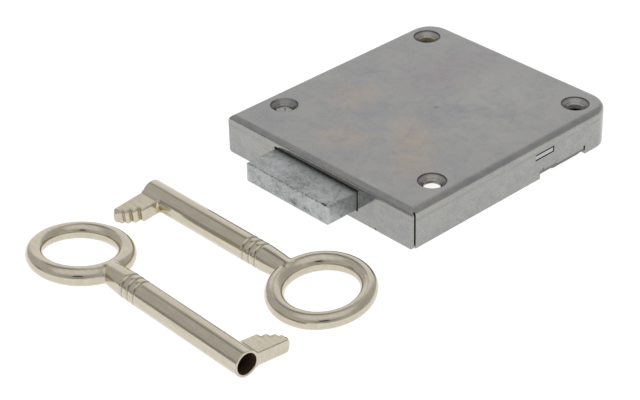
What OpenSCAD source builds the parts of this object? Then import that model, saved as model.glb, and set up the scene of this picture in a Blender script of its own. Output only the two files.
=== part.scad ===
// Surface-mounted furniture lock with its two pipe keys.
// The origin is the key axis on the mounting face, in the middle of the four screw holes.
// +Z points from the wood to the top of the case, and the bolt comes out towards -Y.
// The bolt is thrown, and the four levers stand level, with their gates in line.

/* [Case] */
// Width of the case over its side walls
case_w = 75; // [72:0.5:84]
// Distance from the key axis to the front wall that the bolt comes through
case_front = 45.3; // [44:0.1:50]
// Distance from the key axis to the rear wall
case_back = 39; // [38:0.1:44]
// Height of the case above the wood
case_h = 12.3; // [11.6:0.1:15]
// Thickness of the steel sheet of the case
sheet_t = 1.2; // [0.8:0.1:1.4]
// Outer radius of the bend round the top
bend_r = 1.5; // [1.4:0.1:2.5]
// Outer radius of the two drawn rear corners
corner_r = 7.8; // [5:0.1:9]
// Width of the slits where the front wall was folded down
slit_w = 0.7; // [0.3:0.1:1]
// How far the slits stand behind the front face
slit_back = 0.55; // [0.5:0.05:0.8]
// Radius of the lower tips of the front wall
tip_r = 0.9; // [0.5:0.1:2]

/* [Screw holes] */
// Distance between the holes, along both sides of the square
hole_spacing = 60; // [56:0.5:64]
// Diameter of the screw holes
hole_d = 4.8; // [3.5:0.1:5.4]
// Diameter of the countersinks at the top face
sink_d = 8.2; // [7.4:0.1:9]

/* [Base plate] */
// Thickness of the base plate
plate_t = 1.2; // [0.8:0.1:1.4]
// Distance from the key axis to the front edge of the wide part
plate_front = 10; // [9:0.5:12]
// Width of the tongue that carries the bolt
tongue_w = 29; // [28:0.5:31]
// Start and end of the two bent ears, from the key axis
ear_y = [4.2, 12.8];
// Start and end of the two tabs that stand in the notches of the side walls
tab_y = [13.8, 25];
// Height of the ears
ear_h = 9.4; // [9.2:0.1:9.8]
// Start and end of the catch on each ear
catch_y = [4.75, 12.15];
// Height of the middle of the catches
catch_z = 7.7; // [7:0.1:8]
// Height of the catches
catch_h = 1.5; // [1:0.1:2]
// Space round a catch in its window
catch_play = 0.25; // [0.15:0.05:0.4]
// Start and end of the notches under the side walls
notch_y = [6.6, 25.7];
// Height of the notches under the side walls
notch_h = 1.6; // [1:0.1:2]

/* [Bolt] */
// Width of the bolt
bolt_w = 33.4; // [28:0.1:36]
// Place of the middle of the bolt across the case
bolt_x = -0.6; // [-1:0.1:1]
// Thickness of the bolt
bolt_t = 6; // [5:0.1:6.6]
// Height of the underside of the bolt
bolt_z = 3.3; // [2.6:0.1:3.6]
// Length that the bolt comes out, and the travel of the bolt
throw = 11; // [8:0.5:11.5]
// Length of the shoulder behind the front wall
shoulder_l = 6; // [5:0.5:6.5]
// Width of the shoulder on each side of the bolt
shoulder_w = 4.1; // [3:0.1:5]
// Space between the bolt and its opening
bolt_play = 0.3; // [0.2:0.05:0.5]
// Extra space above the bolt
bolt_headroom = 0.3; // [0:0.1:0.5]
// Thickness of the two arms of the bolt
arm_t = 1.5; // [1.3:0.1:1.8]

/* [Levers] */
// Thickness of the washer under the levers
washer_t = 2.5; // [2.2:0.1:2.7]
// Space between a lever and the next piece above or below it
lever_gap = 0.15; // [0.1:0.05:0.3]
// Place of the lever pivot across the case
pivot_x = -17.5; // [-19:0.1:-17]
// Diameter of the lever pivot
pivot_d = 4; // [3:0.1:4.4]
// Place of the stump of the bolt across the case
stump_x = -19; // [-20:0.1:-18]
// Diameter of the stump
stump_d = 3.6; // [3:0.1:4]
// Angle that a lever falls from its gate, in degrees
lever_fall = 4.5; // [3:0.1:5]
// Angle that a lever can be lifted past its gate, in degrees
lever_lift = 2.5; // [1:0.1:3]
// Width of the lever round its pockets
lever_wall = 1.8; // [1.4:0.1:2.2]
// Radius of the eye round the pivot
eye_r = 4.6; // [4:0.1:5]
// Thickness of the lever springs
spring_t = 0.3; // [0.2:0.05:0.5]
// Radius of the bow of the lever springs
spring_r = 34; // [30:1:60]

/* [Key] */
// Outer diameter of the pipe
pipe_d = 7.5; // [7.2:0.1:7.6]
// Bore of the pipe
pipe_bore = 6; // [5.6:0.1:6.2]
// Distance from the key axis to the tip of the bit
bit_reach = 15; // [14.6:0.1:15.2]
// Thickness of the bit
bit_t = 4; // [3.4:0.1:4.2]
// How far the step for each lever stays behind the tip, from the lever next to the wood
step_drops = [5.8, 3.8, 2.15, 1.1];
// Radius of the corner of the bit at its tip
bit_corner_r = 1.5; // [0.4:0.1:1.5]
// Radius of the bit's tip, above and below
bit_tip_r = 1.5; // [0.4:0.1:1.6]
// Length from the end of the pipe to the middle of the bow
key_l = 69; // [62:0.5:80]
// Outer diameter of the bow
bow_d = 29.9; // [24:0.1:34]
// Diameter of the wire of the bow
wire_d = 5; // [3.5:0.1:5.5]
// Distance from the end of the pipe to the middle ring groove
groove_x = 44.1; // [38:0.5:46]

/* [Hidden] */
$fn = 64;
over = 1;

levers = 4;
run_gap = 0.1;
seat_gap = 0.02;
wall_gap = 0.2;

// Heights of the stack, from the base plate to the inside of the cover
roof_z = case_h - sheet_t;
arm_z = roof_z - 0.4 - arm_t;
stack_z = plate_t + washer_t + run_gap;
lever_pitch = (arm_z - stack_z) / levers;
lever_t = lever_pitch - lever_gap;

// Bolt, from the front wall towards the rear
front_in = -case_front + sheet_t;
shoulder_y = front_in + wall_gap + shoulder_l;
tail_end = case_back - sheet_t - 2.3 - throw;
pivot_r = pivot_d / 2;
pivot_y = tail_end - pivot_r - 2.5;
talon_x = sqrt(bit_reach * bit_reach - throw * throw / 4);
tail_in = -(talon_x - 0.4);
tail_out = stump_x - 3.5;
talon_w = bit_t + 1.4;
stud_x = 12.5;
stud_d = 3;
stud_y = shoulder_y + 0.5 + stud_d / 2 + run_gap + throw;
stud_arm_w = 7.2;

// Levers: the stump stands in the front pocket, and in the rear pocket when the bolt is in
pocket_l = stump_d + 1.6;
pocket_play = 0.5;
gate_play = 0.3;
nose_gap = 0.8;
stump_y = shoulder_y + throw + nose_gap + lever_wall + pocket_l / 2;
function swing(y, angle) = (pivot_y - y) * sin(angle);
function pocket_left(y) = stump_x - stump_d / 2 - swing(y, lever_fall) - pocket_play;
function pocket_right(y) = stump_x + stump_d / 2 + swing(y, lever_lift) + pocket_play;
head_left = pocket_left(stump_y) - lever_wall;
head_right = pocket_right(stump_y) + lever_wall;
head_front = stump_y - pocket_l / 2 - lever_wall;
head_rear = stump_y + throw + pocket_l / 2 + lever_wall;
function lever_z(i) = stack_z + (i - 1) * lever_pitch;
function step_r(i) = bit_reach - step_drops[i - 1];
belly_gap = 0.05;

// Posts beside the levers
post_r = 1.25;
stop_y = (stump_y + stump_y + throw) / 2;
stop_x = head_right + swing(stop_y, lever_fall) + wall_gap + post_r;
spring_post_x = -(case_w / 2 - sheet_t - 3.3);
spring_post_y = head_rear + 2.9;

// Lever springs: an arc from a slit in the back of the lever to the spring post
spring_h_share = 0.75;
spring_root_x = 3;
spring_root_y = 9;
spring_tip_l = 2.2;
spring_from = [pivot_x - spring_root_x, pivot_y - spring_root_y];
spring_to = [spring_post_x + post_r + run_gap + spring_t / 2, spring_post_y - spring_tip_l];
spring_chord = spring_to - spring_from;
spring_mid = (spring_from + spring_to) / 2;
spring_rise = sqrt(spring_r * spring_r - spring_chord * spring_chord / 4);
spring_side = [spring_chord[1], -spring_chord[0]] / norm(spring_chord);
spring_c = spring_mid - spring_side * spring_rise;
spring_a = atan2(spring_from[1] - spring_c[1], spring_from[0] - spring_c[0]);
spring_b = atan2(spring_to[1] - spring_c[1], spring_to[0] - spring_c[0]);

// Key: the bit has one step for the bolt and one for each lever
bolt_step_l = arm_t + 0.1;
bit_l = bolt_step_l + levers * lever_pitch;
pin_r = pipe_bore / 2 - 0.15;
keyhole_r = pipe_d / 2 + 0.3;
keyhole_w = bit_t + 0.8;
groove_pitch = 2.4;
groove_r = 0.4;
neck_end_r = 2.95;
bore_past_bit = 14;

// Each key lies with its pipe end at tip and its bow in the direction turn, rolled until its bow touches
key_roll = asin((pipe_d - wire_d) / (bow_d - wire_d));
key_1_tip = [47.9, -114.3];
key_1_turn = 178.8;
key_2_tip = [-31.3, -79.6];
key_2_turn = 0.3;

// Square with rounded corners, between two opposite corners
module soft_square(low, high, r) {
    translate([low[0] + r, low[1]]) square([high[0] - low[0] - 2 * r, high[1] - low[1]]);
    translate([low[0], low[1] + r]) square([high[0] - low[0], high[1] - low[1] - 2 * r]);
    for (x = [low[0] + r, high[0] - r]) {
        for (y = [low[1] + r, high[1] - r]) {
            translate([x, y]) circle(r);
        }
    }
}

// What is cut away from a square edge at the origin to leave a radius r
module edge_waste(r) {
    difference() {
        translate([-r, -r]) square([r + over, r + over]);
        translate([-r, -r]) circle(r);
    }
}

// Plan of the case with square front corners and round rear corners, drawn in by inset
module case_plan(inset) {
    x = case_w / 2 - inset;
    r = corner_r - inset;
    front = -case_front + inset;
    rear = case_back - inset;
    translate([-x, front]) square([2 * x, rear - r - front]);
    translate([-x + r, front]) square([2 * (x - r), rear - front]);
    for (side = [-1, 1]) {
        translate([side * (x - r), rear - r]) circle(r);
    }
}

// Block with the plan of the case and a radius round its top edge
module case_block(inset, low, high, r) {
    x = case_w / 2 - inset;
    plan_r = corner_r - inset;
    front = -case_front + inset;
    rear = case_back - inset;
    difference() {
        translate([0, 0, low]) linear_extrude(high - low) case_plan(inset);
        for (side = [0, 1]) {
            mirror([side, 0, 0]) {
                translate([x, rear - plan_r, high]) rotate([90, 0, 0])
                    linear_extrude(rear - plan_r - front + over) edge_waste(r);
                translate([x - plan_r, rear - plan_r, high])
                    rotate_extrude(angle = 90) translate([plan_r, 0]) edge_waste(r);
            }
        }
        translate([-x + plan_r, rear, high]) rotate([90, 0, 90])
            linear_extrude(2 * (x - plan_r)) edge_waste(r);
        translate([x + over, front, high]) rotate([90, 0, -90])
            linear_extrude(2 * (x + over)) edge_waste(r);
    }
}

module at_screws() {
    for (x = [-1, 1]) {
        for (y = [-1, 1]) {
            translate([x * hole_spacing / 2, y * hole_spacing / 2, 0]) children();
        }
    }
}

// Cup of sheet that is pressed down round each screw hole
module dimple() {
    sink_depth = (sink_d - hole_d) / 2;
    cup_r = hole_d / 2 + sheet_t;
    top = roof_z + sheet_t / 2;
    rotate_extrude() polygon([
        [0, top], [sink_d / 2 + sheet_t, top], [sink_d / 2 + sheet_t * 0.8, roof_z],
        [cup_r, case_h - sink_depth - 0.7], [0, case_h - sink_depth - 0.7]
    ]);
}

module screw_hole() {
    sink_depth = (sink_d - hole_d) / 2;
    translate([0, 0, roof_z - 4]) cylinder(h = 4 + sheet_t + over, d = hole_d);
    translate([0, 0, case_h - sink_depth]) cylinder(h = sink_depth, d1 = hole_d, d2 = sink_d);
    translate([0, 0, case_h]) cylinder(h = over, d = sink_d);
}

// Window for a catch, the notch for a tab and the cut at its end, in the wall on the +X side
module side_cuts() {
    wall_in = case_w / 2 - sheet_t - over;
    through = sheet_t + 2 * over;
    window = [catch_y[1] - catch_y[0] + 2 * catch_play, catch_h + 2 * catch_play];
    cut_w = 0.8;
    cut_h = 1.2;
    translate([wall_in, catch_y[0] - catch_play, catch_z - window[1] / 2]) cube([through, window[0], window[1]]);
    translate([wall_in, notch_y[0], -over]) cube([through, notch_y[1] - notch_y[0], notch_h + over]);
    translate([wall_in, notch_y[1] - 0.1, -over]) cube([through, cut_w, notch_h + cut_h + over]);
}

// Slit on the +X front corner, and the rounded tip of the front wall beside it
module corner_slit() {
    x = case_w / 2;
    slit_top = case_h - 0.5;
    translate([x - sheet_t - 0.1, -case_front + slit_back, -over])
        cube([sheet_t + over, slit_w, slit_top + over]);
    translate([x, -case_front + slit_back, 0]) rotate([90, 0, 0]) mirror([0, 1, 0])
        linear_extrude(slit_back + over) edge_waste(tip_r);
}

module cover() {
    color("darkgray") difference() {
        union() {
            difference() {
                case_block(0, 0, case_h, bend_r);
                case_block(sheet_t, -over, roof_z, max(bend_r - sheet_t, 0.2));
            }
            at_screws() dimple();
        }
        at_screws() screw_hole();
        translate([bolt_x - bolt_w / 2 - bolt_play, -case_front - over, bolt_z - bolt_play])
            cube([bolt_w + 2 * bolt_play, sheet_t + 2 * over, bolt_t + 2 * bolt_play + bolt_headroom]);
        for (side = [0, 1]) {
            mirror([side, 0, 0]) {
                side_cuts();
                corner_slit();
            }
        }
    }
}

// Ear of the base plate on the +X side, bent up inside the wall, with the catch that fills the window
module ear() {
    out = case_w / 2 - sheet_t - run_gap;
    in_r = 0.4;
    bend = [out - plate_t - in_r, plate_t + in_r];
    translate([0, ear_y[1], 0]) rotate([90, 0, 0]) linear_extrude(ear_y[1] - ear_y[0]) {
        translate([out - plate_t, bend[1]]) square([plate_t, ear_h - bend[1]]);
        intersection() {
            difference() {
                translate(bend) circle(plate_t + in_r);
                translate(bend) circle(in_r);
            }
            translate([bend[0], 0]) square(plate_t + in_r);
        }
    }
    face = case_w / 2 - 0.15;
    translate([0, catch_y[1], 0]) rotate([90, 0, 0]) linear_extrude(catch_y[1] - catch_y[0]) polygon([
        [out - 0.2, catch_z - catch_h / 2], [face, catch_z - catch_h / 2],
        [face, catch_z + catch_h / 2 - 0.5], [face - 0.5, catch_z + catch_h / 2], [out - 0.2, catch_z + catch_h / 2]
    ]);
}

module plate_plan() {
    ear_root = case_w / 2 - sheet_t - run_gap - plate_t - 0.4;
    relief = 0.5;
    tab_out = case_w / 2 - 0.2;
    difference() {
        union() {
            intersection() {
                case_plan(sheet_t + wall_gap);
                translate([-case_w / 2, -plate_front]) square([case_w, plate_front + case_back]);
            }
            soft_square([-tongue_w / 2, front_in + wall_gap], [tongue_w / 2, -plate_front + 3], 2);
            translate([-tab_out, tab_y[0]]) square([2 * tab_out, tab_y[1] - tab_y[0]]);
        }
        for (side = [0, 1]) {
            mirror([side, 0, 0]) translate([ear_root, ear_y[0] - relief])
                square([case_w, ear_y[1] - ear_y[0] + 2 * relief]);
        }
        for (x = [-1, 1]) {
            translate([x * hole_spacing / 2, hole_spacing / 2]) circle(d = hole_d + 0.8);
        }
        circle(keyhole_r);
        translate([0, -keyhole_w / 2]) square([bit_reach + 0.6, keyhole_w]);
        translate([pivot_x, pivot_y]) circle(pivot_r - 0.5);
        translate([stop_x, stop_y]) circle(post_r - 0.25);
        translate([spring_post_x, spring_post_y]) circle(post_r - 0.25);
        translate([stud_x, stud_y]) circle(stud_d / 2 - 0.4);
    }
}

module base_plate() {
    color("gray") {
        linear_extrude(plate_t) plate_plan();
        for (side = [0, 1]) {
            mirror([side, 0, 0]) ear();
        }
    }
}

// Outline of the bolt's two arms, seen from above
module arm_plan() {
    difference() {
        union() {
            soft_square([tail_out, shoulder_y - 2], [tail_in, tail_end], 1.5);
            soft_square([stud_x - stud_arm_w / 2, shoulder_y - 2], [stud_x + stud_arm_w / 2, stud_y + 3.6], 1.5);
        }
        guide_slot(pivot_x, pivot_y, pivot_r);
        guide_slot(stud_x, stud_y, stud_d / 2);
        translate([-bit_reach - 0.5, -throw / 2 - talon_w / 2]) square([bit_reach, talon_w]);
        translate([stump_x, stump_y]) circle(stump_d / 2 - 0.4);
    }
}

// Slot in an arm that runs on a post of radius r as the bolt goes back by its travel
module guide_slot(x, y, r) {
    slot_r = r + run_gap;
    translate([x, y]) circle(slot_r);
    translate([x, y - throw]) circle(slot_r);
    translate([x - slot_r, y - throw]) square([2 * slot_r, throw]);
}

module bolt() {
    half = bolt_w / 2;
    color("lightslategray") {
        translate([0, shoulder_y - shoulder_l + over, 0]) rotate([90, 0, 0])
            linear_extrude(throw + sheet_t + wall_gap + over)
            soft_square([bolt_x - half, bolt_z], [bolt_x + half, bolt_z + bolt_t], 0.5);
        translate([bolt_x - half - shoulder_w, shoulder_y - shoulder_l, plate_t + 0.3])
            cube([bolt_w + 2 * shoulder_w, shoulder_l, arm_z + arm_t - plate_t - 0.3]);
        translate([0, 0, arm_z]) linear_extrude(arm_t) arm_plan();
    }
}

module bolt_stump() {
    color("silver") translate([stump_x, stump_y, 0]) {
        translate([0, 0, stack_z]) cylinder(h = arm_z - stack_z, d = stump_d);
        translate([0, 0, stack_z]) cylinder(h = arm_z + arm_t - stack_z, r = stump_d / 2 - 0.4 - seat_gap);
    }
}

// Post riveted in the base plate, up to the height top
module post(x, y, r, neck_r, top) {
    translate([x, y, plate_t]) cylinder(h = top - plate_t, r = r);
    translate([x, y, 0.1]) cylinder(h = plate_t, r = neck_r - seat_gap);
}

module drill_pin() {
    tip = 0.6;
    low = plate_t - 0.4;
    color("silver") {
        translate([0, 0, low + tip]) cylinder(h = roof_z - low - tip, r = pin_r);
        translate([0, 0, low]) cylinder(h = tip, r1 = pin_r - tip, r2 = pin_r);
    }
}

module pivot_post() {
    color("silver") post(pivot_x, pivot_y, pivot_r, pivot_r - 0.5, roof_z - run_gap);
}

module pivot_washer() {
    color("darkgray") translate([pivot_x, pivot_y, plate_t]) difference() {
        cylinder(h = washer_t, r = eye_r);
        translate([0, 0, -over]) cylinder(h = washer_t + 2 * over, r = pivot_r + 0.05);
    }
}

module stop_post() {
    color("silver") post(stop_x, stop_y, post_r, post_r - 0.25, arm_z - wall_gap);
}

module spring_post() {
    color("silver") post(spring_post_x, spring_post_y, post_r, post_r - 0.25, roof_z - run_gap);
}

module guide_stud() {
    color("silver") post(stud_x, stud_y, stud_d / 2, stud_d / 2 - 0.4, roof_z - run_gap);
}

// Arc of the spring strip, with its thickness and height
module spring_arc(t, h) {
    translate([spring_c[0], spring_c[1], 0]) rotate([0, 0, spring_a])
        rotate_extrude(angle = spring_b - spring_a) translate([spring_r - t / 2, 0]) square([t, h]);
}

// Outline of lever i: head with pockets and gate, belly, neck and eye
module lever_plan(i) {
    r = step_r(i);
    belly = r * throw / 2 / bit_reach + 1;
    belly_x = -sqrt(r * r - belly * belly);
    open_y = stump_y + throw;
    gate = stump_d / 2 + gate_play;
    difference() {
        union() {
            soft_square([head_left, head_front], [head_right, head_rear], 2);
            polygon([
                [head_left + 3, head_rear - 4], [head_right, head_rear - 4], [head_right, belly + 3],
                [pivot_x + eye_r, pivot_y], [pivot_x - eye_r, pivot_y]
            ]);
            polygon([
                [head_right - 1, -belly - 3], [belly_x, -belly], [belly_x, belly], [head_right - 1, belly + 3]
            ]);
            translate([pivot_x, pivot_y]) circle(eye_r);
        }
        circle(r + belly_gap);
        translate([pivot_x, pivot_y]) circle(pivot_r + 0.05);
        for (y = [stump_y, open_y]) {
            soft_square([pocket_left(y), y - pocket_l / 2], [pocket_right(y), y + pocket_l / 2], 0.5);
        }
        translate([stump_x - gate, stump_y]) square([2 * gate, throw]);
    }
}

module lever(i) {
    color("darkkhaki") translate([0, 0, lever_z(i)]) difference() {
        linear_extrude(lever_t) lever_plan(i);
        translate([0, 0, -over]) spring_arc(spring_t + 0.1, lever_t + 2 * over);
    }
}

module lever_spring(i) {
    spring_h = lever_t * spring_h_share;
    color("lightgray") translate([0, 0, lever_z(i) + (lever_t - spring_h) / 2]) spring_arc(spring_t, spring_h);
}

// Key along +X from the end of its pipe at the origin, with its bit towards -Y
module key_shape() {
    pipe_r = pipe_d / 2;
    neck_x = groove_x + 1.4 * groove_pitch;
    bow_r = (bow_d - wire_d) / 2;
    difference() {
        union() {
            rotate([0, 90, 0]) cylinder(h = neck_x, d = pipe_d);
            translate([neck_x, 0, 0]) rotate([0, 90, 0])
                cylinder(h = key_l - bow_r - neck_x, r1 = pipe_r, r2 = neck_end_r);
            translate([key_l - bow_r, 0, 0]) rotate_extrude() intersection() {
                circle(neck_end_r);
                translate([0, -neck_end_r]) square([neck_end_r, 2 * neck_end_r]);
            }
            translate([key_l, 0, 0]) rotate_extrude() translate([bow_r, 0]) circle(d = wire_d);
            intersection() {
                translate([0, 0, -bit_t]) linear_extrude(2 * bit_t) mirror([0, 1]) bit_plan();
                translate([-over, 0, 0]) rotate([90, 0, 90]) linear_extrude(bit_l + 2 * over) bit_end();
            }
        }
        translate([-over, 0, 0]) rotate([0, 90, 0]) cylinder(h = bit_l + bore_past_bit + over, d = pipe_bore);
        for (i = [-1, 0, 1]) {
            translate([groove_x + i * groove_pitch, 0, 0]) rotate([0, 90, 0])
                rotate_extrude() translate([pipe_r, 0]) circle(groove_r);
        }
    }
}

// Side of the bit: the bolt step at the end of the pipe, then one step down for each lever
module bit_plan() {
    root = pipe_bore / 2 + 0.3;
    square_to(0, bolt_step_l, root, bit_reach - bit_corner_r);
    square_to(bit_corner_r, bolt_step_l, root, bit_reach);
    translate([bit_corner_r, bit_reach - bit_corner_r]) circle(bit_corner_r);
    for (i = [levers:-1:1]) {
        from = bolt_step_l + (levers - i) * lever_pitch;
        square_to(from - 0.01, from + lever_pitch, root, step_r(i));
    }
}

// The bit seen along the key, with its rounded tip
module bit_end() {
    half = bit_t / 2;
    mirror([1, 0]) {
        translate([0, -half]) square([bit_reach - bit_tip_r, bit_t]);
        translate([0, bit_tip_r - half]) square([bit_reach, bit_t - 2 * bit_tip_r]);
        for (side = [-1, 1]) {
            translate([bit_reach - bit_tip_r, side * (half - bit_tip_r)]) circle(bit_tip_r);
        }
    }
}

module square_to(x0, x1, y0, y1) {
    translate([x0, y0]) square([x1 - x0, y1 - y0]);
}

// Key laid on the surface, touching it along its pipe and at the side of its bow
module laid_key(tip, turn) {
    color("tan") translate([tip[0], tip[1], pipe_d / 2]) rotate([key_roll, 0, turn]) key_shape();
}

cover();
base_plate();
bolt();
bolt_stump();
drill_pin();
pivot_post();
pivot_washer();
stop_post();
spring_post();
guide_stud();
lever(1);  // lever_1
lever(2);  // lever_2
lever(3);  // lever_3
lever(4);  // lever_4
lever_spring(1);  // lever_spring_1
lever_spring(2);  // lever_spring_2
lever_spring(3);  // lever_spring_3
lever_spring(4);  // lever_spring_4
laid_key(key_1_tip, key_1_turn);  // key_1
laid_key(key_2_tip, key_2_turn);  // key_2
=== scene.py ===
# Looks of a surface-mounted furniture lock and its two pipe keys, built round the CAD model.
import math

import bmesh
import bpy
import numpy as np
from mathutils import Matrix, Vector


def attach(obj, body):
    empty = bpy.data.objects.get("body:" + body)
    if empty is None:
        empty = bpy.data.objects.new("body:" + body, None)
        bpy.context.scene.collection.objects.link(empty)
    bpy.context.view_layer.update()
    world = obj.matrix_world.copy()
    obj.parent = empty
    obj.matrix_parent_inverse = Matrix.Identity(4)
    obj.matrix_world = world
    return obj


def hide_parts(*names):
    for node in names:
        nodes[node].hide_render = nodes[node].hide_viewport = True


MM = 0.001

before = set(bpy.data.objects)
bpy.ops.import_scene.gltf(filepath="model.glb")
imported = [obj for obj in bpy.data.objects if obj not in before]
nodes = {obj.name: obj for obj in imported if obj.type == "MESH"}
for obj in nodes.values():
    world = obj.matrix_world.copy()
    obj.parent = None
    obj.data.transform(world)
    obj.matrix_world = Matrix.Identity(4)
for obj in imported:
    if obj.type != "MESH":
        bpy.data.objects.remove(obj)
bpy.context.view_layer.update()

# Camera, fitted to the screw holes and edges in the photograph
CAMERA_YAW = math.radians(47.362)
CAMERA_PITCH = math.radians(32.253)
CAMERA_ROLL = math.radians(-1.41)
CAMERA_DISTANCE = 570.59 * MM
CAMERA_TARGET = Vector((1.075, -45.34, 0)) * MM
CLIP_START = 0.01
FOCAL_PIXELS = 2022.46
IMAGE_WIDTH = 640
SENSOR_MM = 36


def make_camera():
    flat = math.cos(CAMERA_PITCH)
    back = Vector((math.sin(CAMERA_YAW) * flat, -math.cos(CAMERA_YAW) * flat, math.sin(CAMERA_PITCH)))
    level = Vector((math.cos(CAMERA_YAW), math.sin(CAMERA_YAW), 0))
    upright = back.cross(level)
    right = level * math.cos(CAMERA_ROLL) + upright * math.sin(CAMERA_ROLL)
    up = upright * math.cos(CAMERA_ROLL) - level * math.sin(CAMERA_ROLL)
    pose = Matrix((right, up, back)).transposed().to_4x4()
    pose.translation = CAMERA_TARGET + back * CAMERA_DISTANCE
    data = bpy.data.cameras.new("camera")
    data.sensor_width = SENSOR_MM
    data.lens = FOCAL_PIXELS / IMAGE_WIDTH * SENSOR_MM
    data.clip_start = CLIP_START
    camera = bpy.data.objects.new("camera", data)
    camera.matrix_world = pose
    bpy.context.scene.collection.objects.link(camera)
    bpy.context.scene.camera = camera
    return back


camera_back = make_camera()


# Small helpers that add shader nodes
class Nodes:
    def __init__(self, tree):
        self.tree = tree

    def add(self, kind, inputs=None, **settings):
        node = self.tree.nodes.new(kind)
        for name, value in settings.items():
            setattr(node, name, value)
        for name, value in (inputs or {}).items():
            self.set(node, name, value)
        return node

    def set(self, node, name, value):
        socket = node.inputs[name]
        if isinstance(value, bpy.types.NodeSocket):
            self.tree.links.new(value, socket)
        else:
            socket.default_value = value

    def math(self, operation, a, b=0.0):
        return self.add("ShaderNodeMath", {0: a, 1: b}, operation=operation).outputs[0]

    def times(self, a, b):
        return self.math("MULTIPLY", a, b)

    def vector(self, operation, a, b=(0.0, 0.0, 0.0)):
        return self.add("ShaderNodeVectorMath", {0: a, 1: b}, operation=operation).outputs

    def stretch(self, place, scale):
        return self.vector("MULTIPLY", place, scale)[0]

    def axis(self, place, number):
        return self.add("ShaderNodeSeparateXYZ", {0: place}).outputs[number]

    def span(self, value, low, high, to_low=0.0, to_high=1.0):
        inputs = {"Value": value, "From Min": low, "From Max": high, "To Min": to_low, "To Max": to_high}
        return self.add("ShaderNodeMapRange", inputs, interpolation_type="SMOOTHSTEP").outputs[0]

    def noise(self, place, scale, detail=3.0, rough=0.5, bend=0.0):
        inputs = {"Vector": place, "Scale": scale, "Detail": detail, "Roughness": rough, "Distortion": bend}
        return self.add("ShaderNodeTexNoise", inputs).outputs["Fac"]

    def warp(self, place, scale, reach):
        inputs = {"Vector": place, "Scale": scale, "Detail": 4.0, "Roughness": 0.6}
        drift = self.add("ShaderNodeTexNoise", inputs).outputs["Color"]
        drift = self.vector("SUBTRACT", drift, (0.5, 0.5, 0.5))[0]
        return self.vector("ADD", place, self.stretch(drift, (reach, reach, 0.0)))[0]

    def mix(self, share, a, b, blend="MIX"):
        node = self.add("ShaderNodeMix", data_type="RGBA", blend_type=blend)
        self.set(node, 0, share)
        self.set(node, 6, a)
        self.set(node, 7, b)
        return node.outputs[2]

    def tint(self, share, base, colour):
        return self.mix(share, base, colour, "MULTIPLY")

    def near(self, place, middle, reach, fade):
        away = self.vector("DISTANCE", place, middle)["Value"]
        return self.span(away, reach, reach + fade, 1.0, 0.0)

    # As near, for a spot that is longer along x, by one over squeeze
    def near_long(self, place, middle, squeeze, reach, fade):
        squeezed = self.stretch(place, (squeeze, 1.0, 1.0))
        return self.near(squeezed, (middle[0] * squeeze, middle[1], middle[2]), reach, fade)

    def flat_distance(self, place, middle, kept=(1.0, 1.0, 0.0)):
        away = self.stretch(self.vector("SUBTRACT", place, middle)[0], kept)
        return self.vector("LENGTH", away)["Value"]

    def band(self, value, middle, half, fade):
        off = self.math("ABSOLUTE", self.math("SUBTRACT", value, middle))
        return self.span(off, half, half + fade, 1.0, 0.0)

    def bump(self, height, depth, strength=1.0, under=None):
        inputs = {"Height": height, "Distance": depth, "Strength": strength}
        if under is not None:
            inputs["Normal"] = under
        return self.add("ShaderNodeBump", inputs).outputs[0]


def rgb(r, g, b):
    return (r, g, b, 1.0)


# A metal whose colour, roughness and relief come from build(n, place), with place in millimetres
def metal(name, build, coords=None):
    material = bpy.data.materials.new(name)
    material.use_nodes = True
    n = Nodes(material.node_tree)
    shader = material.node_tree.nodes["Principled BSDF"]
    shader.inputs["Metallic"].default_value = 1.0
    if coords:
        place = n.add("ShaderNodeAttribute", attribute_name=coords).outputs["Vector"]
    else:
        metres = n.add("ShaderNodeTexCoord").outputs["Object"]
        place = n.stretch(metres, (1 / MM, 1 / MM, 1 / MM))
    for socket, value in build(n, place).items():
        n.set(shader, socket, value)
    return material


# Stains on the top of the cover: place, reach and fade in mm, tint and share
TOP_Z = 12.3
BROWN = rgb(1.12, 1.02, 0.94)
PALE = rgb(1.08, 1.08, 1.055)
MAUVE = rgb(0.97, 0.935, 0.955)
SLATE = rgb(0.86, 0.88, 0.93)
DARK = rgb(0.62, 0.62, 0.62)
TOP_STAINS = (
    (-18.5, -12.5, 3.0, 7.0, BROWN, 0.9),
    (-17.0, -5.0, 1.0, 5.0, BROWN, 0.5),
    (-5.5, -31.5, 3.0, 6.0, BROWN, 0.9),
    (-1.7, -26.5, 1.0, 5.0, BROWN, 0.7),
    (7.5, -16.5, 3.0, 7.0, BROWN, 0.8),
    (14.5, -20.0, 2.0, 7.0, BROWN, 0.7),
    (20.5, -29.0, 3.0, 7.0, BROWN, 0.9),
    (-34.0, -10.0, 1.0, 5.0, PALE, 0.9),
    (9.5, 19.0, 5.0, 10.0, PALE, 0.8),
    (20.0, 0.0, 5.0, 8.0, PALE, 0.5),
    (-9.0, 23.0, 6.0, 10.0, MAUVE, 0.9),
    (-10.0, 8.0, 4.0, 8.0, MAUVE, 0.9),
    (-29.0, 1.0, 1.0, 3.0, SLATE, 0.9),
    (-8.0, -14.0, 3.0, 6.0, SLATE, 0.6),
    (5.0, -3.0, 2.0, 6.0, SLATE, 0.5),
    (-30.0, -25.0, 2.0, 7.0, SLATE, 0.4),
    (7.0, 5.0, 0.8, 3.0, SLATE, 0.8),
    (13.5, 7.5, 0.8, 3.5, SLATE, 0.7),
    (20.5, 10.0, 0.8, 3.0, SLATE, 0.8),
    (-1.5, 10.5, 0.6, 3.0, SLATE, 0.7),
    (-29.5, -38.0, 2.0, 5.0, SLATE, 0.5),
    (2.8, 0.0, 0.3, 0.8, DARK, 0.8),
    (3.5, -39.0, 3.0, 6.0, MAUVE, 0.5),
)
# Only a stain that reaches further than this has a torn outline
ROUND_REACH = 0.5

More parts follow.
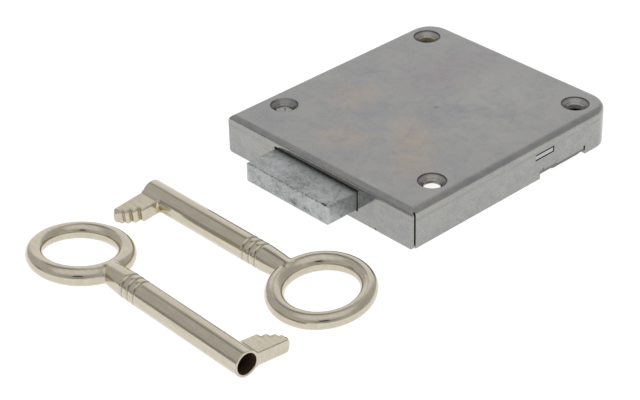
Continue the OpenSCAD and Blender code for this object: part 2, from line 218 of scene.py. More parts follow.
# Marks on the walls, in mm, and where a painted shade runs along the notches; the tick is on the inside of
# the left wall
WALL_SPOTS = ((37.5, 8.0, 2.7), (23.3, -45.3, 0.4))
DRAWN_LINE_Z = 9.0
RUBBED_AT = (19.0, -45.3, 7.0)
TICK_AT = (-36.3, -24.2, 6.2)
TICK_SQUEEZE = 0.25
NOTCH_TOP = 1.6
NOTCH_MIDDLE = 16.1
NOTCH_HALF = 9.6

# Screw holes, in mm: distance from the middle both ways, countersink and rear throat
HOLE_AT = 30.0
SINK_R = 4.1
THROAT_R = 3.8
THROAT_Z = 9.9
RING_PITCH = 9.0
# Where the painted shade round the front left hole's rim is fainter
FAINT_RIM_AT = (-HOLE_AT - 2.3, -HOLE_AT + 2.3, TOP_Z)


def stained_sheet(n, place, patch, mottle, grain):
    torn = n.warp(n.warp(place, 0.13, 14.0), 0.5, 5.0)
    base = n.mix(n.span(patch, 0.38, 0.62), rgb(0.308, 0.308, 0.317), rgb(0.347, 0.344, 0.338))
    base = n.mix(n.span(mottle, 0.4, 0.6, 0.0, 0.6), base, rgb(0.365, 0.364, 0.360))
    for x, y, reach, fade, tint, share in TOP_STAINS:
        if reach > ROUND_REACH:
            spot = n.near(torn, (x, y, TOP_Z), reach, fade)
            spot = n.times(spot, n.span(mottle, 0.3, 0.5, 0.6, 1.0))
        else:
            spot = n.near(place, (x, y, TOP_Z), reach, fade)
        base = n.tint(n.times(spot, share), base, tint)
    base = n.tint(n.span(grain, 0.36, 0.5, 0.7, 0.0), base, rgb(0.78, 0.78, 0.79))
    return n.tint(n.span(grain, 0.52, 0.66, 0.0, 0.5), base, rgb(1.16, 1.15, 1.13))


def walls_with_marks_and_painted_shade(n, place, base, wall, patch):
    base = n.tint(wall, base, rgb(1.0, 1.005, 0.975))
    height = n.axis(place, 2)
    line = n.times(n.band(height, DRAWN_LINE_Z, 0.15, 0.5), n.span(patch, 0.42, 0.55, 0.2, 0.7))
    base = n.tint(line, base, rgb(0.86, 0.86, 0.77))
    across = n.math("ABSOLUTE", n.axis(place, 0))
    along = n.axis(place, 1)
    # painted shade: a dark band on the outer wall along the top edge of each notch, standing in for the
    # shade there
    lip_top = n.span(along, 13.3, 14.3, NOTCH_TOP + 0.9, NOTCH_TOP + 0.5)
    lip = n.times(n.span(across, 37.0, 37.2), n.span(n.math("SUBTRACT", lip_top, height), -0.15, 0.15))
    lip = n.times(lip, n.band(along, NOTCH_MIDDLE, NOTCH_HALF, 0.3))
    base = n.tint(n.times(lip, 0.85), base, rgb(0.46, 0.46, 0.43))
    for middle in WALL_SPOTS:
        base = n.mix(n.times(n.near(place, middle, 0.15, 0.45), 0.7), base, rgb(0.06, 0.06, 0.055))
    squeezed = n.stretch(place, (1.0, 1.0, TICK_SQUEEZE))
    tick = n.near(squeezed, (TICK_AT[0], TICK_AT[1], TICK_AT[2] * TICK_SQUEEZE), 0.15, 0.2)
    return n.mix(n.times(tick, 0.8), base, rgb(0.05, 0.05, 0.045))


# Gives the colour, with painted light in the throats of the two rear holes, and where those throats are
def holes_with_marks_and_painted_light(n, place, base):
    folded = n.vector("ABSOLUTE", place)[0]
    from_hole = n.flat_distance(folded, (HOLE_AT, HOLE_AT, 0.0))
    cone = n.span(from_hole, SINK_R - 0.5, SINK_R, 1.0, 0.0)
    base = n.tint(n.times(cone, 0.8), base, rgb(1.12, 1.08, 1.04))
    dull = n.near(place, (-HOLE_AT, -HOLE_AT, TOP_Z), SINK_R - 0.3, 0.3)
    base = n.tint(dull, base, rgb(0.76, 0.78, 0.78))
    sides = {0: n.axis(folded, 0), 1: n.axis(place, 1), 2: n.axis(place, 2)}
    both_sides = n.add("ShaderNodeCombineXYZ", sides).outputs[0]
    # painted light: the throats of the two rear holes are painted a light grey, standing in for light
    # falling in through the holes
    painted_light_throat = n.near(both_sides, (HOLE_AT, HOLE_AT, THROAT_Z - 0.2), 2.5, 0.2)
    base = n.mix(painted_light_throat, base, rgb(0.62, 0.61, 0.59))
    olive = n.near(place, (-HOLE_AT, HOLE_AT, THROAT_Z), 2.7, 0.3)
    base = n.tint(olive, base, rgb(1.0, 0.97, 0.68))
    rings = n.band(n.math("SINE", n.times(from_hole, RING_PITCH)), 1.0, 0.2, 0.8)
    base = n.mix(n.times(n.times(rings, cone), 0.3), base, rgb(0.16, 0.15, 0.14))
    # painted shade: a dark line round the rim of each hole
    rim_shade = n.band(from_hole, SINK_R - 0.1, 0.12, 0.16)
    faint = n.near(place, FAINT_RIM_AT, 2.5, 1.5)
    rim_shade = n.times(rim_shade, n.math("SUBTRACT", 0.85, n.times(faint, 0.6)))
    return n.mix(rim_shade, base, rgb(0.05, 0.047, 0.043)), painted_light_throat


def cover_look(n, place):
    mottle = n.noise(place, 0.4, 6.0, 0.7)
    patch = n.noise(place, 0.12, 5.0, 0.65, 0.8)
    grain = n.noise(place, 2.6, 5.0, 0.7)
    wall = n.span(n.axis(place, 2), TOP_Z - 1.5, TOP_Z - 0.5, 1.0, 0.0)
    base = stained_sheet(n, place, patch, mottle, grain)
    base = walls_with_marks_and_painted_shade(n, place, base, wall, patch)
    base, painted_light_throat = holes_with_marks_and_painted_light(n, place, base)
    rough = n.math("ADD", n.times(mottle, 0.6), n.times(grain, 0.4))
    rough = n.span(rough, 0.3, 0.7, 0.28, 0.40)
    rough = n.times(rough, n.span(wall, 0.0, 1.0, 1.0, 0.6))
    rough = n.math("ADD", rough, n.times(painted_light_throat, 0.6))
    rubbed = n.near(place, RUBBED_AT, 4.0, 5.0)
    rough = n.times(rough, n.span(rubbed, 0.0, 1.0, 1.0, 0.45))
    relief = n.bump(grain, 0.012 * MM, 0.6, n.bump(mottle, 0.04 * MM, 0.5))
    return {"Base Color": base, "Roughness": rough, "Normal": relief}


# Top of the plate's catches in the windows, in mm
CATCH_TOP = 8.23


def plate_look(n, place):
    mottle = n.noise(place, 0.5, 4.0, 0.6)
    grain = n.noise(n.stretch(place, (0.3, 3.0, 3.0)), 2.0, 3.0, 0.6)
    across = n.math("ABSOLUTE", n.axis(place, 0))
    height = n.axis(place, 2)
    base = n.mix(n.span(mottle, 0.3, 0.7), rgb(0.44, 0.44, 0.42), rgb(0.52, 0.52, 0.505))
    base = n.tint(n.span(across, 33.0, 34.5, 0.8, 0.0), base, rgb(0.93, 0.90, 0.70))
    # painted shade on the plate's edge where it shows in the notches
    edge_shade = n.times(n.span(across, 36.0, 36.15), n.span(height, 1.3, 1.6, 1.0, 0.0))
    base = n.tint(edge_shade, base, rgb(0.38, 0.38, 0.35))
    # painted shade: a dark band on the top of the catches in the windows
    catch_shade = n.times(n.span(across, 36.2, 36.3), n.span(height, CATCH_TOP - 0.12, CATCH_TOP - 0.04))
    base = n.tint(catch_shade, base, rgb(0.22, 0.22, 0.21))
    rough = n.span(grain, 0.3, 0.7, 0.38, 0.52)
    return {"Base Color": base, "Roughness": rough, "Normal": n.bump(grain, 0.02 * MM, 0.5)}


# Corners of the bolt's head, painted highlights and marks on it, in mm
BOLT_SIDES = (-17.3, 16.1)
BOLT_FRONT = -56.3
BOLT_TOP = 9.3
PAINTED_HIGHLIGHTS_AT = ((-12.0, -52.0, BOLT_TOP), (11.0, BOLT_FRONT, 7.0))
POCKS_AT = ((2.0, BOLT_FRONT, 4.8), (7.5, BOLT_FRONT, 4.6))
POCK_SQUEEZE = 0.5
BURR_AT = (14.3, BOLT_FRONT + 0.3, BOLT_TOP)
BURR_SQUEEZE = 0.3


def zinc_look(n, place):
    cloud = n.noise(place, 0.16, 4.0, 0.6, 0.8)
    mottle = n.noise(place, 0.5, 7.0, 0.75, 0.5)
    flecks = n.noise(n.warp(place, 1.5, 0.8), 1.3, 5.0, 0.7)
    cells = n.add("ShaderNodeTexVoronoi", {"Vector": place, "Scale": 0.7, "Randomness": 1.0})
    pit = n.span(cells.outputs["Distance"], 0.06, 0.22, 1.0, 0.0)
    base = n.mix(n.span(mottle, 0.38, 0.6), rgb(0.285, 0.294, 0.292), rgb(0.40, 0.415, 0.418))
    base = n.mix(n.span(cloud, 0.40, 0.60, 0.0, 0.7), base, rgb(0.43, 0.447, 0.453))
    base = n.mix(n.span(flecks, 0.54, 0.64, 0.0, 0.55), base, rgb(0.57, 0.585, 0.60))
    base = n.mix(n.span(flecks, 0.36, 0.46, 0.45, 0.0), base, rgb(0.20, 0.205, 0.20))
    base = n.mix(n.times(pit, 0.5), base, rgb(0.12, 0.125, 0.12))
    # painted highlights: lighter patches on the bolt's top and front
    for middle in PAINTED_HIGHLIGHTS_AT:
        highlight = n.times(n.near(place, middle, 2.0, 7.0), n.span(mottle, 0.35, 0.55, 0.1, 0.45))
        base = n.mix(highlight, base, rgb(0.56, 0.58, 0.59))
    for middle in POCKS_AT:
        pocked = n.near_long(place, middle, POCK_SQUEEZE, 0.3, 0.8)
        pocked = n.times(pocked, n.span(flecks, 0.4, 0.55, 0.9, 0.3))
        base = n.mix(pocked, base, rgb(0.10, 0.105, 0.10))
    for side in BOLT_SIDES:
        corner = n.flat_distance(place, (side, BOLT_FRONT, 0.0))
        worn = n.times(n.span(corner, 0.2, 1.6, 1.0, 0.0), n.span(mottle, 0.35, 0.5, 0.4, 0.9))
        base = n.mix(worn, base, rgb(0.52, 0.535, 0.535))
    edge = n.flat_distance(place, (0.0, BOLT_FRONT, BOLT_TOP), (0.0, 1.0, 1.0))
    crack = n.times(n.span(edge, 0.15, 0.55, 1.0, 0.0), n.span(flecks, 0.44, 0.56, 0.6, 0.0))
    base = n.mix(crack, base, rgb(0.08, 0.08, 0.075))
    burr = n.near_long(place, BURR_AT, BURR_SQUEEZE, 0.25, 0.25)
    base = n.mix(n.times(burr, 0.85), base, rgb(0.03, 0.03, 0.03))
    rough = n.span(mottle, 0.3, 0.7, 0.52, 0.36)
    height = n.math("SUBTRACT", n.math("ADD", mottle, n.times(flecks, 0.3)), n.times(pit, 0.6))
    return {"Base Color": base, "Roughness": rough, "Normal": n.bump(height, 0.2 * MM, 0.6)}


# Where dirt, worn plating and painted shade lie on the key, in its own mm, along +X from the pipe end: the
# valleys between the steps of the bit with their share, the grooves, the joint of bit and pipe with its
# squeeze (dirt with painted shade), a dull spot on the bit and the part of the bore that is dark
KEY_VALLEYS = ((1.4, -13.9, 0.2), (2.75, -12.85, 0.4), (4.05, -11.2, 0.9), (5.4, -9.2, 0.9))
KEY_GROOVES = (41.7, 44.1, 46.5)
KEY_FILLETS = (((9.3, -3.6, -0.9), 0.5), ((8.0, -3.6, -0.9), 1.25))
KEY_DULL = (3.4, -6.9, 0.0)
PIPE_R = 3.75
BORE_R = 3.0
BORE_DARK = (22.0, 23.0)


def nickel_look(n, place):
    streak = n.noise(n.stretch(place, (0.12, 1.2, 1.2)), 1.0, 4.0, 0.6, 0.3)
    mottle = n.noise(place, 0.45, 4.0, 0.6)
    fine = n.noise(place, 3.5, 3.0, 0.6)
    along = n.axis(place, 0)
    base = n.mix(n.span(streak, 0.35, 0.7), rgb(0.555, 0.503, 0.405), rgb(0.61, 0.568, 0.475))
    base = n.mix(n.span(mottle, 0.45, 0.72, 0.0, 0.35), base, rgb(0.50, 0.45, 0.36))
    for x, y, share in KEY_VALLEYS:
        dirt = n.span(n.flat_distance(place, (x, y, 0.0)), 0.5, 1.2, share, 0.0)
        base = n.mix(dirt, base, rgb(0.42, 0.385, 0.25))
    # darker at the joint of bit and pipe: dirt together with painted shade
    for middle, squeeze in KEY_FILLETS:
        fillet_dirt_and_shade = n.near_long(place, middle, squeeze, 0.9, 1.2)
        fillet_dirt_and_shade = n.times(fillet_dirt_and_shade, n.span(mottle, 0.35, 0.55, 0.4, 0.9))
        base = n.mix(fillet_dirt_and_shade, base, rgb(0.36, 0.30, 0.17))
    dull = n.span(n.flat_distance(place, KEY_DULL), 0.3, 1.1, 0.5, 0.0)
    base = n.mix(n.times(dull, n.span(fine, 0.4, 0.6)), base, rgb(0.40, 0.33, 0.25))
    from_axis = n.flat_distance(place, (0.0, 0.0, 0.0), (0.0, 1.0, 1.0))
    reach = n.times(n.span(along, 0.15, 0.5), n.span(along, *BORE_DARK, 1.0, 0.0))
    bored = n.times(n.span(from_axis, BORE_R, BORE_R + 0.15, 1.0, 0.0), reach)
    base = n.mix(bored, base, rgb(0.15, 0.105, 0.07))
    for groove in KEY_GROOVES:
        base = n.mix(n.times(n.band(along, groove, 0.1, 0.3), 0.5), base, rgb(0.28, 0.24, 0.17))
    rough = n.math("ADD", n.span(mottle, 0.3, 0.7, 0.09, 0.15), n.times(bored, 0.7))
    relief = n.bump(fine, 0.004 * MM, 0.3, n.bump(mottle, 0.03 * MM, 0.3))
    return {"Base Color": base, "Roughness": rough, "Normal": relief}


def pin_look(n, place):
    turned = n.noise(n.stretch(place, (0.4, 0.4, 6.0)), 1.5, 3.0, 0.6)
    base = n.mix(n.span(turned, 0.3, 0.7), rgb(0.44, 0.44, 0.43), rgb(0.55, 0.55, 0.54))
    rough = n.span(turned, 0.3, 0.7, 0.25, 0.38)
    return {"Base Color": base, "Roughness": rough, "Normal": n.bump(turned, 0.02 * MM, 0.5)}


def brass_look(n, place):
    mottle = n.noise(place, 0.4, 4.0, 0.6)
    rolled = n.noise(n.stretch(place, (0.2, 3.0, 3.0)), 2.0, 3.0, 0.6)
    base = n.mix(n.span(mottle, 0.3, 0.7), rgb(0.56, 0.42, 0.20), rgb(0.68, 0.54, 0.30))
    rough = n.span(rolled, 0.3, 0.7, 0.28, 0.42)
    return {"Base Color": base, "Roughness": rough, "Normal": n.bump(rolled, 0.015 * MM, 0.5)}


def spring_look(n, place):
    rolled = n.noise(n.stretch(place, (3.0, 0.2, 3.0)), 2.0, 3.0, 0.6)
    base = n.mix(n.span(rolled, 0.3, 0.7), rgb(0.33, 0.34, 0.37), rgb(0.44, 0.45, 0.47))
    return {"Base Color": base, "Roughness": n.span(rolled, 0.3, 0.7, 0.22, 0.34)}


materials = {
    "cover_steel": metal("cover_steel", cover_look),
    "plate_steel": metal("plate_steel", plate_look),
    "zinc_casting": metal("zinc_casting", zinc_look),
    "pin_steel": metal("pin_steel", pin_look),
    "lever_brass": metal("lever_brass", brass_look),
    "spring_steel": metal("spring_steel", spring_look),
    "key_nickel": metal("key_nickel", nickel_look, "key_place"),
}

# Which finish each CAD node that stays gets
LEVERS = 4
NODE_FINISH = {
    "bolt_stump": "pin_steel",
    "drill_pin": "pin_steel",
    "pivot_post": "pin_steel",
    "pivot_washer": "plate_steel",
    "stop_post": "pin_steel",
    "spring_post": "pin_steel",
    "guide_stud": "pin_steel",
}
for number in range(1, LEVERS + 1):
    NODE_FINISH["lever_%d" % number] = "lever_brass"
    NODE_FINISH["lever_spring_%d" % number] = "spring_steel"
for name, finish in NODE_FINISH.items():
    data = nodes[name].data
    data.materials.clear()
    data.materials.append(materials[finish])


def add_piece(name, mesh, finish, body, node):
    piece = bpy.data.objects.new(name, mesh)
    bpy.context.scene.collection.objects.link(piece)
    mesh.materials.clear()
    mesh.materials.append(materials[finish])
    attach(piece, body)
    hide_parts(node)
    return piece


# Points closer than this, in metres, are one point, and faces that turn less than this are one face
WELD = 1e-6
FLAT_ANGLE = math.radians(0.5)
LIP_SEGMENTS = 5


def break_edges(work, edges, width, segments):
    bmesh.ops.bevel(work, geom=edges, offset=width, offset_type="OFFSET", segments=segments, profile=0.5,
                    affect="EDGES", clamp_overlap=True, harden_normals=False)


# Copy of a CAD node with its sharp edges broken, and its flat faces kept flat; lip is a wider break above
# lip_z, and mend changes the copy first
def softened(node, width, segments, min_angle=35.0, lip=0.0, lip_z=0.0, mend=None):
    mesh = bpy.data.meshes.new(node + "_soft")
    work = bmesh.new()
    work.from_mesh(nodes[node].data)
    bmesh.ops.remove_doubles(work, verts=work.verts, dist=WELD)
    if mend:
        mend(work)
    bmesh.ops.dissolve_limit(work, angle_limit=FLAT_ANGLE, verts=work.verts, edges=work.edges)
    limit = math.radians(min_angle)
    sharp = [e for e in work.edges if e.is_manifold and e.calc_face_angle(0.0) > limit]
    if lip:
        rims = [e for e in sharp if all(v.co.z > lip_z for v in e.verts)]
        break_edges(work, rims, lip, LIP_SEGMENTS)
        sharp = [e for e in sharp if e.is_valid and all(v.co.z <= lip_z for v in e.verts)]
    break_edges(work, sharp, width, segments)
    for face in work.faces:
        face.smooth = True
    bmesh.ops.triangulate(work, faces=[f for f in work.faces if len(f.verts) > 4])
    work.to_mesh(mesh)
    work.free()
    return mesh


def weigh_normals(piece):
    modifier = piece.modifiers.new("normals", "WEIGHTED_NORMAL")
    modifier.weight = 60
    modifier.keep_sharp = True


# The plate's tabs end at its edge, inside the walls, as only that edge shows in the notches,
# and its catches leave a dark line above them in the windows
PLATE_EDGE = 36.25
TAB_Y = (13.6, 25.2)
TAB_TOP = 1.25
CATCH_FOOT = 36.35
CATCH_RIM = 0.6
CATCH_DROP = 0.22
PLATE_ROUND = 0.08
PLATE_MIN_ANGLE = 50.0


def fit_plate(work):
    catch_top = max(v.co.z for v in work.verts if abs(v.co.x) / MM > CATCH_FOOT and v.co.z / MM > TAB_TOP)
    for vert in work.verts:
        x, y, z = vert.co / MM
        if abs(x) > PLATE_EDGE and TAB_Y[0] < y < TAB_Y[1] and z < TAB_TOP:
            vert.co.x = math.copysign(PLATE_EDGE, x) * MM
        if abs(x) > CATCH_FOOT and vert.co.z > catch_top - CATCH_RIM * MM:
            vert.co.z = catch_top - CATCH_DROP * MM
    bmesh.ops.remove_doubles(work, verts=work.verts, dist=WELD)
    bmesh.ops.dissolve_degenerate(work, edges=work.edges, dist=WELD)


plate_mesh = softened("base_plate", PLATE_ROUND * MM, 2, PLATE_MIN_ANGLE, mend=fit_plate)
plate = add_piece("plate_sheet", plate_mesh, "plate_steel", "root", "base_plate")
weigh_normals(plate)

# The bend between the cover's top and its walls, in mm, made rounder than in the CAD solid
COVER_W = 75.0
COVER_FRONT = 45.3
COVER_BACK = 39.0
COVER_CORNER = 7.8
BEND_R = 1.5
BEND_SOFT_R = 2.1
BEND_SLACK = 0.12


def rounder_bend(mesh):
    places = np.empty(len(mesh.vertices) * 3)
    mesh.vertices.foreach_get("co", places)
    places = places.reshape(-1, 3) / MM
    drop = TOP_Z - places[:, 2]
    side = COVER_W / 2 - np.abs(places[:, 0])
    front = COVER_FRONT + places[:, 1]
    back = COVER_BACK - places[:, 1]
    growth = BEND_SOFT_R / BEND_R - 1
    cx = side - COVER_CORNER
    cy = back - COVER_CORNER
    round_r = np.hypot(cx, cy)
    in_corner = (cx < 0) & (cy < 0)
    corner_depth = COVER_CORNER - round_r

    def on_bend(depth):
        off = np.hypot(depth - BEND_R, drop - BEND_R)
        return (np.abs(off - BEND_R) < BEND_SLACK) & (depth < BEND_R + 0.01) & (drop < BEND_R + 0.01)

    shift = np.zeros_like(places)
    side_hit = on_bend(side) & ~in_corner
    front_hit = on_bend(front)
    back_hit = on_bend(back) & ~in_corner
    corner_hit = on_bend(corner_depth) & in_corner
    shift[side_hit, 0] = -np.sign(places[side_hit, 0]) * side[side_hit] * growth
    shift[front_hit, 1] = front[front_hit] * growth
    shift[back_hit, 1] = -back[back_hit] * growth
    shrink = (round_r - corner_depth * growth) / np.maximum(round_r, 0.1)
    shift[corner_hit, 0] = np.sign(places[corner_hit, 0]) * -cx[corner_hit] * (shrink[corner_hit] - 1)
    shift[corner_hit, 1] = -cy[corner_hit] * (shrink[corner_hit] - 1)
    hit = side_hit | front_hit | back_hit | corner_hit
    shift[hit, 2] = -drop[hit] * growth
    mesh.vertices.foreach_set("co", ((places + shift) * MM).ravel())
    mesh.update()


# The two rear holes are deeper dimples than in the CAD solid
THROAT_DROP = 0.6
THROAT_SLACK = 0.3


def deepen_rear_holes(work):
    for vert in work.verts:
        x, y, z = vert.co / MM
        if math.hypot(abs(x) - HOLE_AT, y - HOLE_AT) < THROAT_R and abs(z - THROAT_Z) < THROAT_SLACK:
            vert.co.z -= THROAT_DROP * MM


# How far the cover's and the bolt's edges are broken, in mm
COVER_ROUND = 0.12
COVER_MIN_ANGLE = 35.0
RIM_ROUND = 0.25
RIM_Z = 12.25
BOLT_ROUND = 0.3

cover_mesh = softened("cover", COVER_ROUND * MM, 2, COVER_MIN_ANGLE, RIM_ROUND * MM, RIM_Z * MM,
                      deepen_rear_holes)
rounder_bend(cover_mesh)
cover = add_piece("cover_shell", cover_mesh, "cover_steel", "root", "cover")
weigh_normals(cover)
bolt = add_piece("bolt_casting", softened("bolt", BOLT_ROUND * MM, 3), "zinc_casting", "bolt", "bolt")
weigh_normals(bolt)

# Keys, in millimetres along +X from the pipe end, with the bit towards -Y
BORE_L = 21.3
BIT_LEVELS = (15.1, 13.9, 12.85, 11.2, 9.2)
BIT_STEPS = (0.0, 1.6, 2.95, 4.3, 5.65, 7.0)
BIT_HALF = 2.0
BIT_ROUND = 0.38
STEP_ROUND = 0.66
BIT_CORNER = 1.9
BIT_TIP = 1.9
BIT_ROOT = 3.2
NECK_START = 47.46
NECK_END_R = 3.0
NECK_POWER = 1.25
GROOVE_DEPTH = 0.36
GROOVE_WIDTH = 0.36
BOW_X = 69.0
BOW_R = 12.45
WIRE_R = 2.5
WIRE_GROWTH = 0.22
STEM_END = BOW_X - BOW_R + 1.2

# How softly the key's parts run into each other, in mm
MOUTH_BLEND = 0.25
STEM_END_BLEND = 1.6
BOW_BLEND = 0.5
BIT_BLEND = 0.8
BORE_BLEND = 0.32

# Mesh of the key: its voxel, and the boxes in x and y that get a finer mesh, in mm
KEY_VOXEL = 0.33
FAR = 99.0
KEY_FINE = (
    (-1.0, 7.8, -FAR, FAR),
    (-1.0, 7.4, -FAR, -7.6),
    (40.4, 47.8, -FAR, FAR),
    (40.6, 47.6, -FAR, FAR),
)
KEY_PULLS = 6
KEY_PULL_MOST = 0.2
SLOPE_STEP = 0.01
KEY_ROLL = math.asin(math.sqrt((PIPE_R - WIRE_R) ** 2 - WIRE_GROWTH ** 2) / BOW_R)
KEY_LAY = {"key_1": (47.9, -114.3, 178.8), "key_2": (-31.3, -79.6, 0.3)}


def smooth_min(a, b, k):
    h = np.clip(0.5 + 0.5 * (b - a) / k, 0.0, 1.0)
    return b + (a - b) * h - k * h * (1.0 - h)


def smooth_max(a, b, k):
    return -smooth_min(-a, -b, k)


# Signed distance to the closed outline of points, in the plane
def outline_distance(x, y, points):
    best = np.full(x.shape, 1e9)
    inside = np.zeros(x.shape, bool)
    for (x0, y0), (x1, y1) in zip(points, points[1:] + points[:1]):
        ex, ey = x1 - x0, y1 - y0
        along = np.clip(((x - x0) * ex + (y - y0) * ey) / (ex * ex + ey * ey), 0.0, 1.0)
        best = np.minimum(best, (x - x0 - ex * along) ** 2 + (y - y0 - ey * along) ** 2)
        if y0 != y1:
            crosses = ((y0 > y) != (y1 > y)) & (x < x0 + (y - y0) / (y1 - y0) * ex)
            inside ^= crosses
    return np.where(inside, -1.0, 1.0) * np.sqrt(best)


def bit_outline(inset):
    points = [(inset, BIT_ROOT), (inset, BIT_LEVELS[0] - inset)]
    for i, level in enumerate(BIT_LEVELS):
        end = BIT_STEPS[i + 1] - inset
        points.append((end, level - inset))
        if i < len(BIT_LEVELS) - 1:
            points.append((end, BIT_LEVELS[i + 1] - inset))
    points.append((BIT_STEPS[-1] - inset, BIT_ROOT))
    return points


BIT_POINTS = bit_outline(STEP_ROUND)


def stem_distance(x, across):
    taper = np.clip((x - NECK_START) / (BOW_X - BOW_R - NECK_START), 0.0, 1.2)
    stem_r = PIPE_R - (PIPE_R - NECK_END_R) * taper ** NECK_POWER
    for groove in KEY_GROOVES:
        stem_r = stem_r - GROOVE_DEPTH * np.exp(-((x - groove) / GROOVE_WIDTH) ** 2)
    stem = smooth_max(across - stem_r, -x, MOUTH_BLEND)
    return smooth_max(stem, x - STEM_END, STEM_END_BLEND)


def bow_distance(x, y, z):
    ring_r = np.sqrt((x - BOW_X) ** 2 + y * y)
    toward_neck = (BOW_X - x) / np.maximum(ring_r, 1.0)
    return np.sqrt((ring_r - BOW_R) ** 2 + z * z) - WIRE_R - WIRE_GROWTH * toward_neck


def bit_distance(x, y, z):
    flat = outline_distance(x, -y, BIT_POINTS) - (STEP_ROUND - BIT_ROUND)
    tall = np.abs(z) - (BIT_HALF - BIT_ROUND)
    outer = np.sqrt(np.maximum(flat, 0.0) ** 2 + np.maximum(tall, 0.0) ** 2)
    bit = np.minimum(np.maximum(flat, tall), 0.0) + outer - BIT_ROUND
    outward = np.maximum(-y - BIT_LEVELS[0] + BIT_CORNER, 0.0)
    corner = np.sqrt(np.maximum(BIT_CORNER - x, 0.0) ** 2 + outward ** 2)
    bit = np.maximum(bit, corner - BIT_CORNER)
    depth = BIT_CORNER - corner + BIT_TIP * (1.0 - outward / np.maximum(corner, 1e-6)) ** 3
    tip = np.maximum(BIT_TIP - depth, 0.0) ** 2 + np.maximum(np.abs(z) - BIT_HALF + BIT_TIP, 0.0) ** 2
    return np.maximum(bit, np.sqrt(tip) - BIT_TIP)


def key_distance(p):
    x, y, z = p[:, 0], p[:, 1], p[:, 2]
    across = np.sqrt(y * y + z * z)
    body = smooth_min(stem_distance(x, across), bow_distance(x, y, z), BOW_BLEND)
    body = smooth_min(body, bit_distance(x, y, z), BIT_BLEND)
    bore = np.maximum(across - BORE_R, x - BORE_L)
    return smooth_max(body, -bore, BORE_BLEND)


def key_gradient(p):
    parts = []
    for axis in range(3):
        shift = np.zeros(3)
        shift[axis] = SLOPE_STEP
        parts.append((key_distance(p + shift) - key_distance(p - shift)) / (2 * SLOPE_STEP))
    return np.stack(parts, 1)


def key_lay(name):
    x, y, turn = KEY_LAY[name]
    place = Matrix.Translation((x * MM, y * MM, PIPE_R * MM))
    return place @ Matrix.Rotation(math.radians(turn), 4, "Z") @ Matrix.Rotation(KEY_ROLL, 4, "X")


# Even mesh over the key, pulled onto the smooth form that key_distance describes
def key_surface():
    start = bpy.data.meshes.new("key_start")
    work = bmesh.new()
    work.from_mesh(nodes["key_2"].data)
    bmesh.ops.remove_doubles(work, verts=work.verts, dist=WELD)
    bmesh.ops.transform(work, matrix=key_lay("key_2").inverted(), verts=work.verts)
    work.to_mesh(start)
    work.free()
    holder = bpy.data.objects.new("key_start", start)
    bpy.context.scene.collection.objects.link(holder)
    remesh = holder.modifiers.new("remesh", "REMESH")
    remesh.mode = "VOXEL"
    remesh.voxel_size = KEY_VOXEL * MM
    done = holder.evaluated_get(bpy.context.evaluated_depsgraph_get()).to_mesh()
    work = bmesh.new()
    work.from_mesh(done)
    holder.to_mesh_clear()
    bpy.data.objects.remove(holder)
    for x0, x1, y0, y1 in KEY_FINE:
        inside = {v for v in work.verts if x0 < v.co.x / MM < x1 and y0 < v.co.y / MM < y1}
        fine = [e for e in work.edges if all(v in inside for v in e.verts)]
        bmesh.ops.subdivide_edges(work, edges=fine, cuts=1, use_grid_fill=True)
    places = np.array([tuple(v.co) for v in work.verts]) / MM
    work.verts.index_update()
    faces = [tuple(v.index for v in f.verts) for f in work.faces]
    work.free()
    for _ in range(KEY_PULLS):
        slope = key_gradient(places)
        push = key_distance(places) / np.maximum((slope ** 2).sum(1), 0.2)
        places -= np.clip(push, -KEY_PULL_MOST, KEY_PULL_MOST)[:, None] * slope
    slope = key_gradient(places)
    normals = slope / np.linalg.norm(slope, axis=1)[:, None]
    return places, faces, normals


key_places, key_faces, key_normals = key_surface()
for name in KEY_LAY:
    lay = key_lay(name)
    turn = np.array(lay.to_3x3())
    mesh = bpy.data.meshes.new(name + "_form")
    laid = key_places * MM @ turn.T + np.array(lay.translation)
    mesh.from_pydata(laid.tolist(), [], key_faces)
    for polygon in mesh.polygons:
        polygon.use_smooth = True
    local = mesh.attributes.new("key_place", "FLOAT_VECTOR", "POINT")
    local.data.foreach_set("vector", key_places.ravel())
    mesh.normals_split_custom_set_from_vertices((key_normals @ turn.T).tolist())
    add_piece(name + "_nickel", mesh, "key_nickel", "root", name)

# Floor: half its width in metres, how far it lies under the lock, its colour and its glow
FLOOR_HALF = 3.0
FLOOR_DROP = 0.1 * MM
FLOOR_GREY = 0.3
FLOOR_ROUGH = 0.9
FLOOR_GLOW = 0.9


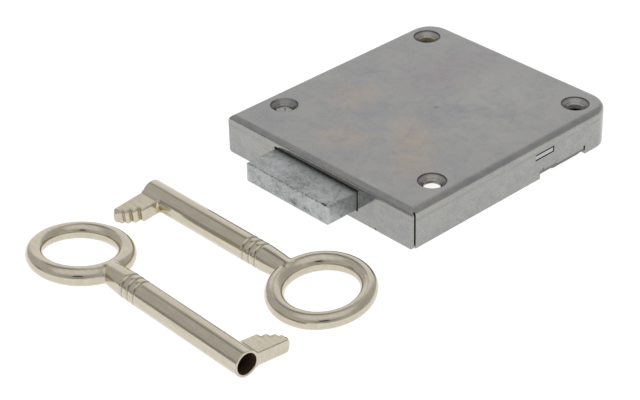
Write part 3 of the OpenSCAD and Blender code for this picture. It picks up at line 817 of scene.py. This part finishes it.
# Glowing white table under everything, as the photograph was taken on
def make_floor():
    mesh = bpy.data.meshes.new("floor")
    corners = [(-1, -1), (1, -1), (1, 1), (-1, 1)]
    points = [(x * FLOOR_HALF, y * FLOOR_HALF, -FLOOR_DROP) for x, y in corners]
    mesh.from_pydata(points, [], [(0, 1, 2, 3)])
    floor = bpy.data.objects.new("floor", mesh)
    bpy.context.scene.collection.objects.link(floor)
    material = bpy.data.materials.new("floor")
    material.use_nodes = True
    shader = material.node_tree.nodes["Principled BSDF"]
    shader.inputs["Base Color"].default_value = rgb(FLOOR_GREY, FLOOR_GREY, FLOOR_GREY)
    shader.inputs["Roughness"].default_value = FLOOR_ROUGH
    shader.inputs["Specular IOR Level"].default_value = 0.0
    shader.inputs["Emission Color"].default_value = rgb(1.0, 1.0, 1.0)
    shader.inputs["Emission Strength"].default_value = FLOOR_GLOW
    mesh.materials.append(material)


make_floor()

# Soft light all round: each patch is a direction, the angles where it is full and ends, and its light
SKY = 0.60
SKY_COLOUR = rgb(1.0, 0.995, 0.985)
PATCHES = (
    ((-0.66, 0.66, 0.36), 22, 40, 0.36),
    ((-0.54, 0.27, 0.79), 6, 16, -0.33),
    ((-0.63, -0.77, 0.13), 4, 14, -0.24),
    ((0.55, 0.60, 0.55), 10, 40, -0.07),
    ((0.25, -0.25, 0.93), 22, 45, 0.30),
    (tuple(camera_back), 14, 36, -0.16),
    (tuple(camera_back), 8, 12, -0.43),
)


def make_world():
    world = bpy.data.worlds.new("tent")
    bpy.context.scene.world = world
    world.use_nodes = True
    n = Nodes(world.node_tree)
    toward = n.add("ShaderNodeTexCoord").outputs["Generated"]
    light = SKY
    for direction, full, end, amount in PATCHES:
        facing = n.vector("DOT_PRODUCT", toward, Vector(direction).normalized())["Value"]
        share = n.span(facing, math.cos(math.radians(end)), math.cos(math.radians(full)), 0.0, amount)
        light = n.math("ADD", share, light)
    background = world.node_tree.nodes["Background"]
    n.set(background, "Strength", light)
    background.inputs["Color"].default_value = SKY_COLOUR


make_world()
bpy.context.scene.view_settings.view_transform = "Standard"
